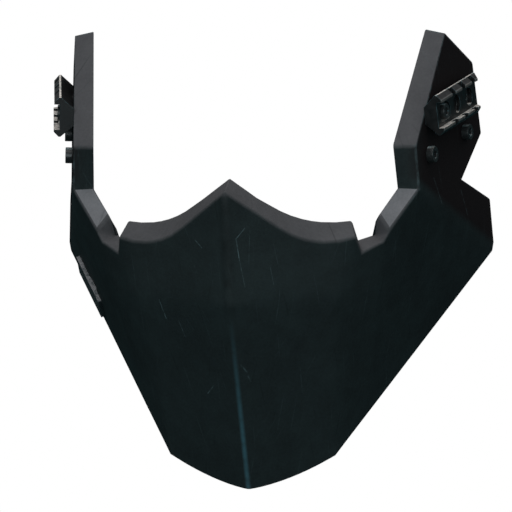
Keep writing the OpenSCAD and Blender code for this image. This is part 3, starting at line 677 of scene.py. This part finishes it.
def screw_tree():
    """Socket-head screws at points that hold their axis, turn and shank length."""
    tree, given = new_tree("Screws", {"Head Diameter": 8.5, "Head Height": 3.9, "Socket Width": 4,
                                      "Socket Depth": 2.2, "Shank Diameter": 5})
    head_r, shank_r, hexagon, twice, down, sunk = [
        add(tree, "Math MULTIPLY", [given[key], share])
        for key, share in (("Head Diameter", 0.5), ("Shank Diameter", 0.5),
                           ("Socket Width", 0.5 / math.cos(math.pi / 6)), ("Socket Depth", 2.0),
                           ("Head Height", -1.0), ("Head Height", -0.96))]
    head = add(tree, "GeometryNodeMeshCone", {
        "Vertices": 64, "Radius Top": head_r, "Radius Bottom": head_r, "Depth": given["Head Height"]})
    lowered = add(tree, "CombineXYZ", {2: down})
    head = add(tree, "GeometryNodeTransform", {"Geometry": head, "Translation": lowered})
    socket = add(tree, "GeometryNodeMeshCylinder", {"Vertices": 6, "Radius": hexagon, "Depth": twice})
    head = add(tree, "GeometryNodeMeshBoolean DIFFERENCE", {"Mesh 1": head, "Mesh 2": socket}, solver="EXACT")
    shank = add(tree, "GeometryNodeMeshCylinder", {"Vertices": 32, "Radius": shank_r, "Depth": 1.0})
    shank = add(tree, "GeometryNodeTransform", {"Geometry": shank, "Translation": (0, 0, -0.5)})
    axis, turn, reach = [
        add(tree, "GeometryNodeInputNamedAttribute", {"Name": name}, data_type=kind)
        for name, kind in (("axis", "FLOAT_VECTOR"), ("turn", "FLOAT"), ("reach", "FLOAT"))]
    facing = add(tree, "FunctionNodeAlignRotationToVector", {"Vector": axis}, axis="Z")
    spin = add(tree, "FunctionNodeAxisAngleToRotation", {"Axis": (0, 0, 1), "Angle": turn})
    facing = add(tree, "FunctionNodeRotateRotation", {"Rotation": facing, "Rotate By": spin},
                 rotation_space="LOCAL")
    heads = add(tree, "GeometryNodeInstanceOnPoints", {
        "Points": given["Geometry"], "Instance": head, "Rotation": facing})
    drop = add(tree, "VectorMath SCALE", {0: axis, "Scale": sunk})
    seats = add(tree, "GeometryNodeSetPosition", {"Geometry": given["Geometry"], "Offset": drop})
    size = add(tree, "CombineXYZ", [1.0, 1.0, reach])
    shanks = add(tree, "GeometryNodeInstanceOnPoints", {
        "Points": seats, "Instance": shank, "Rotation": facing, "Scale": size})
    both = add(tree, "GeometryNodeJoinGeometry", {"Geometry": heads})
    feed(both.node, [shanks])
    return finished(tree, given, both)


def screws(name, tree, places, edge, **values):
    """Screws at places, each a head's middle, its axis, its turn and its shank's length."""
    mesh = bpy.data.meshes.new(name)
    mesh.from_pydata([p[0] for p in places], [], [])
    for column, key in enumerate(("axis", "turn", "reach"), 1):
        kind, field = ("FLOAT_VECTOR", "vector") if key == "axis" else ("FLOAT", "value")
        for item, place in zip(mesh.attributes.new(key, kind, "POINT").data, places):
            setattr(item, field, place[column])
    piece = new_piece(name, mesh)
    run_tree(piece, tree, **values)
    for key in ("axis", "turn", "reach"):
        if key in piece.data.attributes:
            piece.data.attributes.remove(piece.data.attributes[key])
    round_edges(piece, edge, angle=35)
    # Faces turned up get the worn-edge colour with a little painted highlight of the lamp overhead
    mark_edges(piece, edge, Vector((0, 0, 1)), 1.25)
    smooth(piece)
    return piece


class GUARD_OT_screws(bpy.types.Operator):
    """Makes the socket cap screws of the arms and rails"""
    bl_idname = "guard.screws"
    bl_label = "Screws"

    def execute(self, context):
        h = context.scene.guard_hardware
        finish = hard_finish("steel_black_oxide_turned", h.oxide, h.bare, 0.36, 0.85, metallic=0.4)
        tree = screw_tree()
        sizes = dict(head_diameter=h.head_d, head_height=h.head_h, socket_width=h.socket,
                     socket_depth=h.socket_depth, shank_diameter=h.shank_d, finish=finish)
        for side, word in SIDES:
            out = mirrored(ARM_OUT, side)
            arm = [(on_arm(side, 3.9, a, -20.5), out, turn, 9.4 * MM)
                   for a, turn in ((-28.7, 0.3), (23.2, 0.75))]
            rail = [(on_arm(side, 8.5, -17.8, 0), out, 0.1, 14 * MM),
                    (on_arm(side, 5.4, 17.8, 0), out, 0.55, 10.8 * MM)]
            for part, places in (("arm", arm), ("rail", rail)):
                piece = screws(part + "_cap_screws_" + word, tree, places, h.edge, **sizes)
                settle(piece, "guard", "screws", part + "_screws_" + word)
        return {"FINISHED"}


class GUARD_OT_buttons(bpy.types.Operator):
    """Makes the release buttons, which move on their own bodies"""
    bl_idname = "guard.buttons"
    bl_label = "Release buttons"

    def execute(self, context):
        h = context.scene.guard_hardware
        finish = hard_finish("aluminium_turned_anodised", h.anodised, h.bare, 0.34, 0.7, metallic=0.5)
        for side in ("left", "right"):
            rounded_copy("button_" + side + "_cap", 0.3 * MM, finish, "button_" + side, "button",
                         "release_button_" + side)
        return {"FINISHED"}


class GUARD_OT_jaw_plate(bpy.types.Operator):
    """Makes the plate on the wearer's right jaw and finishes its screws"""
    bl_idname = "guard.jaw_plate"
    bl_label = "Jaw plate"

    def execute(self, context):
        h = context.scene.guard_hardware
        finish = hard_finish("steel_sheet_satin_black_paint", colour("182022"), colour("39464a"),
                             0.6, 0.5, (1, 0.3, 1), metallic=0, polished_and_highlight=colour("6c6b6d"))
        # The paint is gone from the long upper edge
        rounded_copy("jaw_edge_plate", 0.35 * MM, finish, "guard", "jaw_plate", "jaw_plate",
                     bright=Vector((0.042, -0.612, 0.79)))
        steel = hard_finish("steel_black_oxide_small", h.oxide, h.bare, 0.38, 0.8, metallic=0.4)
        rounded_copy("jaw_plate_cap_screws", 0.15 * MM, steel, "guard", "screws", "jaw_plate_screws")
        return {"FINISHED"}


class GUARD_OT_inner_metal(bpy.types.Operator):
    """Gives the plates, nuts, sleeves and inserts their metals and makes the springs"""
    bl_idname = "guard.inner_metal"
    bl_label = "Inner metal"

    def execute(self, context):
        bare = colour("c9cccd")
        kinds = {
            name: hard_finish(title, colour(code), bare, roughness, 0, brushed, metallic=0.6)
            for name, title, code, roughness, brushed in (
                ("receiver_plate", "stainless_sheet_brushed", "9a9b9c", 0.34, (1, 0.06, 1)),
                ("clinch_nuts", "steel_zinc_plated", "b6b5ac", 0.3, (1, 1, 1)),
                ("button_sleeve", "aluminium_turned", "9a9c9e", 0.32, (1, 1, 1)),
                ("jaw_plate_inserts", "brass_turned", "b6924e", 0.3, (1, 1, 1)))}
        for name, node in NODES.items():
            for start, finish in kinds.items():
                if name.startswith(start):
                    node.data.materials.clear()
                    node.data.materials.append(finish)
        wire = hard_finish("spring_steel_drawn", colour("8d8f92"), bare, 0.26, 0, metallic=0.6)
        for side, word in SIDES:
            # Each coil keeps the CAD spring's shape; its two ends along the button's axis are worked out
            piece = new_piece("button_coil_" + word, merged("button_spring_" + word, flat=0), wire)
            out = mirrored(ARM_OUT, side)
            ends = sorted((v.co for v in piece.data.vertices), key=out.dot)
            middle = sum(ends, Vector()) / len(ends)
            start, end = [middle + out * (p - middle).dot(out) for p in (ends[0], ends[-1])]
            smooth(piece, 60)
            tuple(start)
            tuple(end)
            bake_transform(piece)
            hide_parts("button_spring_" + word)
        return {"FINISHED"}


# Soft parts

# Points round a pad, the cover's mesh size, and how near its seam the cover is drawn in
RING, MESH, DRAWN = 72, 4 * MM, 4 * MM
# Millimetres that a cover starts inside its solid and that its seam is drawn in; steps of swelling
SUNK, PULL, STEPS = 0.9, 1.1, 20


def cloth_finish(name, base, pitch_mm, depth_mm, fuzz):
    """Dyed yarn in a close fabric; the weave is drawn coarser than life so that it shows."""
    made, tree, shader, where = finish_of(name, base, 0.92, level=0.15, sheen=fuzz)
    turned = add(tree, "Mapping", {0: where, 2: (0.4, 0.3, 0.2), 3: [2 * math.pi / (pitch_mm * MM)] * 3})
    xyz = add(tree, "SeparateXYZ", [turned], out=None)
    waves = [add(tree, "Math SINE", [axis]) for axis in xyz]
    knots = add(tree, "Math MULTIPLY_ADD", waves)
    knots = add(tree, "MapRange", [knots, -1.4, 1.4])
    height, tone = [
        add(tree, "Math MULTIPLY_ADD", [noise, share, knots])
        for noise, share in ((speckle(tree, where, 0.8, 3), 0.5),
                             (speckle(tree, where, 14, 3, 0.3, 0.7), 0.35))]
    feed(shader, {
        "Sheen Roughness": 0.45,
        "Base Color": mixed(tree, tone, [c * 0.6 for c in base], [c * 1.5 for c in base]),
        "Normal": add(tree, "Bump", {"Height": height, "Strength": 0.8, "Distance": depth_mm * MM})})
    return made


class GUARD_OT_lining(bpy.types.Operator):
    """Makes the looped lining and the hook tape behind the pads"""
    bl_idname = "guard.lining"
    bl_label = "Lining"

    def execute(self, context):
        s = context.scene.guard_soft
        loop = cloth_finish("polyamide_loop_lining", s.loop, 1.6, 0.3, 0.5)
        tape = cloth_finish("polyamide_hook_tape", s.knit, 1.2, 0.25, 0.1)
        for name, node, finish, slot in [("loop_lining", "liner", loop, "lining")] + [
                ("hook_tape_" + word, "hook_patch_" + word, tape, "hook_tape")
                for word in ("chin", "left", "right")]:
            piece = new_piece(name, merged(node), finish)
            round_edges(piece, 0.3 * MM, angle=50)
            smooth(piece)
            settle(piece, "guard", slot, node)
        return {"FINISHED"}


def outward_of(mesh):
    """A pad's middle, the way it faces the shell and two directions along it."""
    points = np.array([v.co[:] for v in mesh.vertices])
    middle = points.mean(axis=0)
    axes = np.linalg.svd(points - middle, full_matrices=False)[2]
    out = Vector(axes[2])
    if out.dot(Vector(middle) - Vector((0, 0.03, -0.1))) < 0:
        out = -out
    return Vector(middle), out, Vector(axes[0]), out.cross(Vector(axes[0]))


def surface_of(mesh):
    """The mesh as a surface that rays can meet."""
    return BVHTree.FromPolygons([v.co for v in mesh.vertices], [p.vertices[:] for p in mesh.polygons])


def outline(mesh, count):
    """Points round a pad where it reaches furthest, seen from the shell."""
    middle, _, along, across = outward_of(mesh)
    best = [None] * count
    for vertex in mesh.vertices:
        off = vertex.co - middle
        x, y = off.dot(along), off.dot(across)
        slot = int((math.atan2(y, x) / math.tau % 1) * count) % count
        if best[slot] is None or math.hypot(x, y) > best[slot][0]:
            best[slot] = (math.hypot(x, y), vertex.co.copy())
    ring = [b[1] for b in best if b is not None]
    for _ in range(3):
        ring = [(ring[i - 1] + ring[i] * 2 + ring[(i + 1) % len(ring)]) / 4 for i in range(len(ring))]
    return ring


def swollen(node, cap):
    """The pad's cover, blown up by its foam, with its back held flat."""
    bm = merged(node, flat=0)
    bmesh.ops.recalc_face_normals(bm, faces=bm.faces)
    for vertex in bm.verts:
        vertex.co -= vertex.normal * SUNK * MM
    piece = new_piece("cover_" + node, bm)
    remesh = piece.modifiers.new("Even mesh", "REMESH")
    remesh.mode, remesh.voxel_size = "VOXEL", MESH
    bake(piece)
    mesh = piece.data
    out = outward_of(mesh)[1]
    start = [v.co.copy() for v in mesh.vertices]
    mesh.update()
    held = [v.index for v in mesh.vertices if v.normal.dot(out) > 0.45]
    piece.vertex_groups.new(name="held").add(held, 1.0, "REPLACE")
    cloth = piece.modifiers.new("Foam", "CLOTH")
    foam = cloth.settings
    foam.use_pressure, foam.uniform_pressure_force = True, 4
    foam.vertex_group_mass, foam.effector_weights.gravity = "held", 0
    cloth.point_cache.frame_start, cloth.point_cache.frame_end = 1, STEPS
    scene = bpy.context.scene
    for step in range(1, STEPS + 1):
        scene.frame_set(step)
    bake(piece)
    scene.frame_set(1)
    for vertex, before in zip(piece.data.vertices, start):
        move = vertex.co - before
        if move.length > cap:
            vertex.co = before + move.normalized() * cap
    piece.vertex_groups.clear()
    return piece


def tube(name, ring, radius, sides=8):
    """A closed round tube along a ring of points."""
    bm, rows = bmesh.new(), []
    middle = sum(ring, Vector()) / len(ring)
    for i, p in enumerate(ring):
        along = (ring[(i + 1) % len(ring)] - ring[i - 1]).normalized()
        out = (p - middle).cross(along).normalized()
        side = along.cross(out).normalized()
        rows.append([bm.verts.new(p + (out * math.cos(a) + side * math.sin(a)) * radius)
                     for a in (math.tau * j / sides for j in range(sides))])
    for a, b in zip(rows, rows[1:] + rows[:1]):
        for j in range(sides):
            k = (j + 1) % sides
            bm.faces.new((a[j], b[j], b[k], a[k]))
    bmesh.ops.recalc_face_normals(bm, faces=bm.faces)
    piece = new_piece(name, bm)
    piece.data.shade_smooth()
    return piece


def stitch_tree():
    """Stitches of thread laid end to end along a line."""
    tree, given = new_tree("Stitches", {"Pitch": 3.4, "Stitch Length": 2.6, "Thread Diameter": 0.55})
    line = add(tree, "GeometryNodeMeshToCurve", {"Mesh": given["Geometry"]})
    line = add(tree, "GeometryNodeResampleCurve", {"Curve": line, "Length": given["Pitch"]}, mode="LENGTH")
    bead = add(tree, "GeometryNodeMeshUVSphere", {"Segments": 8, "Rings": 6, "Radius": 0.5})
    size = add(tree, "CombineXYZ", [
        given["Thread Diameter"], given["Thread Diameter"], given["Stitch Length"]])
    way = add(tree, "FunctionNodeAlignRotationToVector", {
        "Vector": add(tree, "GeometryNodeInputTangent")}, axis="Z")
    run = add(tree, "GeometryNodeInstanceOnPoints", {
        "Points": line, "Instance": bead, "Rotation": way, "Scale": size})
    return finished(tree, given, run)


def reach_from(surface, point, out):
    """Where the surface is met from the wearer's side of a point."""
    return surface.ray_cast(point - out * 0.05, out)[0]


def make_pad(word, s, knit, tape, yarn, tree):
    """A swollen cover, the welt round it and the stitched line that draws it in."""
    piece = swollen(word, s.swell)
    piece.name = piece.data.name = word + "_cover"
    piece.data.materials.append(knit)
    middle, out = outward_of(piece.data)[:2]
    seam, surface = [], surface_of(piece.data)
    for p in outline(piece.data, RING):
        off = p - middle
        level = off - out * off.dot(out)
        seam.append(reach_from(surface, middle + level * (1 - s.inset / level.length), out))
        if seam[-1] is None:
            raise RuntimeError("the seam misses " + word)
    for vertex in piece.data.vertices:
        gap = min((vertex.co - p).length for p in seam)
        if vertex.normal.dot(out) < 0.3 and gap < DRAWN:
            vertex.co += out * PULL * MM * (1 - gap / DRAWN) ** 1.5
    fair = piece.modifiers.new("Soft", "SUBSURF")
    fair.levels = fair.render_levels = 2
    bake(piece)
    piece.data.shade_smooth()
    settle(piece, "guard", "pad", word)
    welt = tube(word + "_welt", outline(piece.data, RING), s.welt / 2)
    welt.data.materials.append(tape)
    settle(welt, "guard", "pad")
    surface = surface_of(piece.data)
    line = [(reach_from(surface, p, out) or p) - out * s.thread * 0.2 for p in seam]
    path = bpy.data.meshes.new(word + "_stitches")
    path.from_pydata(line, [(i, (i + 1) % len(line)) for i in range(len(line))], [])
    thread = new_piece(word + "_stitches", path)
    run_tree(thread, tree, pitch=s.pitch, stitch_length=s.pitch * 0.78, thread_diameter=s.thread, finish=yarn)
    thread.data.shade_smooth()
    settle(thread, "guard", "pad")


class GUARD_OT_pads(bpy.types.Operator):
    """Makes the comfort pads with their swollen covers, welts and stitching"""
    bl_idname = "guard.pads"
    bl_label = "Pads"

    def execute(self, context):
        s = context.scene.guard_soft
        knit = cloth_finish("polyester_knit_brushed", s.knit, 1.5, 0.25, 0.35)
        tape = cloth_finish("polyester_welt_tape", s.loop, 1.1, 0.15, 0.15)
        yarn = cloth_finish("polyester_thread_twisted", s.yarn, 0.7, 0.1, 0.1)
        tree = stitch_tree()
        for word in ("chin_pad", "cheek_pad_left", "cheek_pad_right"):
            make_pad(word, s, knit, tape, yarn, tree)
        return {"FINISHED"}


# Stage

def white_to_camera(tree, lit, shiny, kind):
    """White to the camera, shiny to reflections and lit to all other light."""
    path = add(tree, "LightPath", out=None)
    white = add(tree, kind, {"Color": (1, 1, 1, 1), "Strength": 1.0})
    mix = add(tree, "MixShader", [path["Is Glossy Ray"], lit, shiny])
    return add(tree, "MixShader", [path["Is Camera Ray"], mix, white])


class GUARD_OT_stage(bpy.types.Operator):
    """Sets the pale floor, the studio lamps, the world and the camera"""
    bl_idname = "guard.stage"
    bl_label = "Stage"

    def execute(self, context):
        s, scene = context.scene.guard_stage, context.scene
        scene.view_settings.view_transform = "Standard"
        # Camera: the photograph's distance, direction and long lens
        lens = bpy.data.cameras.new("camera")
        lens.sensor_width, lens.lens = 36, 431.54
        lens.clip_start, lens.clip_end = 0.1, 100
        camera = bpy.data.objects.new("camera", lens)
        camera.matrix_world = Matrix.Translation((0.60407, -3.117455, 0.716174)) @ (
            Matrix.Rotation(math.radians(-14.35), 4, "X")
            @ Matrix.Rotation(math.radians(10.7135), 4, "Z")
            @ Matrix.Rotation(math.radians(90 - 0.0227), 4, "X"))
        scene.collection.objects.link(camera)
        scene.camera = camera
        # Floor: white to the camera, dim to everything else
        bm = bmesh.new()
        bmesh.ops.create_grid(bm, x_segments=1, y_segments=1, size=8)
        bmesh.ops.translate(bm, verts=bm.verts, vec=(0, 0, -s.floor))
        made, tree, shader, _ = finish_of("floor_painted_matt", colour("566a6e"), 0.9, level=0.1)
        dim = add(tree, "Emission", {"Color": (0.012, 0.04, 0.045, 1), "Strength": 1.0})
        seen = white_to_camera(tree, shader.outputs[0], dim, "Emission")
        feed(tree.nodes["Material Output"], [seen])
        new_piece("floor", bm, made)
        # World: white behind the guard, a dim even light on it
        world = bpy.data.worlds.new("studio")
        scene.world = world
        world.use_nodes = True
        tree = world.node_tree
        tree.nodes.clear()
        up = add(tree, "SeparateXYZ", [add(tree, "TexCoord", out="Generated")], out=2)
        up = add(tree, "MapRange", [up, 0.0, 1.0])
        sky = mixed(tree, up, colour("c8d3d6"), (1, 0.98, 0.98))
        lit = add(tree, "Background", {"Color": sky, "Strength": s.sky})
        gloss = mixed(tree, up, (0.03, 0.045, 0.05), (0.75, 0.74, 0.74))
        shiny = add(tree, "Background", {"Color": gloss, "Strength": 1.0})
        seen = white_to_camera(tree, lit, shiny, "Background")
        add(tree, "OutputWorld", {"Surface": seen}, out=None)
        # Lamps: a broad one overhead and a weak one in front
        for name, power, size, place in (("top", s.top, 1.6, (0.1, -0.1, 1.7)),
                                         ("front", s.front, 1.4, (0.2, -2.2, 0.5))):
            lamp = bpy.data.lights.new(name, "AREA")
            lamp.shape, lamp.size, lamp.energy = "DISK", size, power
            lamp.color = (1, 0.985, 0.98) if name == "top" else (0.86, 0.97, 1)
            shown = bpy.data.objects.new(name, lamp)
            shown.location, shown.rotation_mode = place, "QUATERNION"
            shown.rotation_quaternion = (Vector((0, 0, -0.08)) - shown.location).to_track_quat("-Z", "Y")
            shown.visible_camera = False
            scene.collection.objects.link(shown)
        return {"FINISHED"}


class GUARD_PT_panel(bpy.types.Panel):
    """Lists the guard's pieces and their settings"""
    bl_idname = "GUARD_PT_panel"
    bl_label = "Mandible guard"
    bl_space_type = "VIEW_3D"
    bl_region_type = "UI"
    bl_category = "Guard"

    def draw(self, context):
        for operator in OPERATORS:
            self.layout.operator(operator.bl_idname)
        for name, kind in SETTINGS.items():
            box = self.layout.box()
            for key in kind.__annotations__:
                box.prop(getattr(context.scene, name), key)


SETTINGS = {"guard_shell": GuardShellSettings, "guard_hardware": GuardHardwareSettings,
            "guard_soft": GuardSoftSettings, "guard_stage": GuardStageSettings}
OPERATORS = (GUARD_OT_stage, GUARD_OT_shell, GUARD_OT_rails, GUARD_OT_screws, GUARD_OT_buttons,
             GUARD_OT_jaw_plate, GUARD_OT_inner_metal, GUARD_OT_lining, GUARD_OT_pads)
CLASSES = (*SETTINGS.values(), *OPERATORS, GUARD_PT_panel)


def register():
    for kind in CLASSES:
        bpy.utils.register_class(kind)
    for name, kind in SETTINGS.items():
        setattr(bpy.types.Scene, name, bpy.props.PointerProperty(type=kind))


def unregister():
    for name in SETTINGS:
        delattr(bpy.types.Scene, name)
    for kind in reversed(CLASSES):
        bpy.utils.unregister_class(kind)


def main():
    register()
    for operator in OPERATORS:
        group, name = operator.bl_idname.split(".")
        getattr(getattr(bpy.ops, group), name)()


if __name__ == "__main__":
    main()
